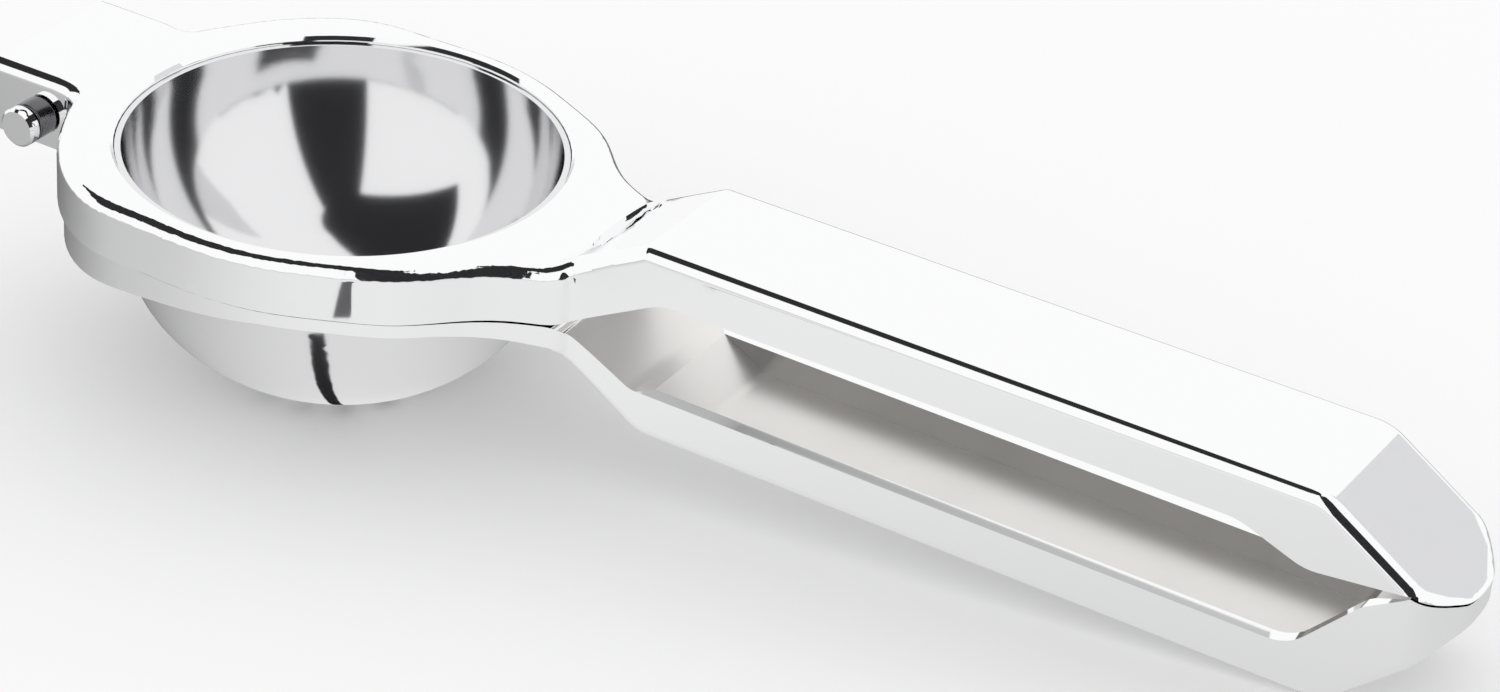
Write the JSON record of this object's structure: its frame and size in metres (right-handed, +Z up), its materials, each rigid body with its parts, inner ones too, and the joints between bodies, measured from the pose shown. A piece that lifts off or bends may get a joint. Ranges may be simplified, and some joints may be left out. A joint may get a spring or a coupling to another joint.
{
  "type": "hinged lemon squeezer",
  "caption": "Hand-held citrus press: a perforated bowl and a pressing bowl nest on two long handles that close about a pinned hinge.",
  "frame": {"origin": "centre of the footprint, on the table that the closed tool lies on", "axes": "+X from the hinge along the handles, +Y across the hinge pin toward its clip end, +Z up out of the press bowl"},
  "size_m": [0.2106, 0.0668, 0.0398],
  "materials": {
    "arm_chrome": "mirror-polished chrome over a casting",
    "lower_arm_chrome": "polished chrome outside, satin inside the trough",
    "press_bowl_chrome": "mirror-polished inside and out",
    "strainer_bowl_chrome": "polished",
    "pin_chrome": "polished",
    "washer_steel": "dark steel",
    "clip_steel": "spring steel"
  },
  "bodies": {
    "strainer": {"strainer_arm": "lower_arm_chrome", "strainer_cup": "strainer_bowl_chrome"},
    "press": {"press_arm": "arm_chrome", "press_cup": "press_bowl_chrome", "hinge_pin": "pin_chrome", "near_washer": "washer_steel", "far_washer": "washer_steel", "retaining_clip": "clip_steel"}
  },
  "joints": [
    {"name": "handle_hinge", "type": "hinge", "parent": "strainer", "child": "press", "pos_m": [-0.09827, 0, 0.03229], "axis": [0, -1, 0], "range_deg": [0, 120]}
  ]
}
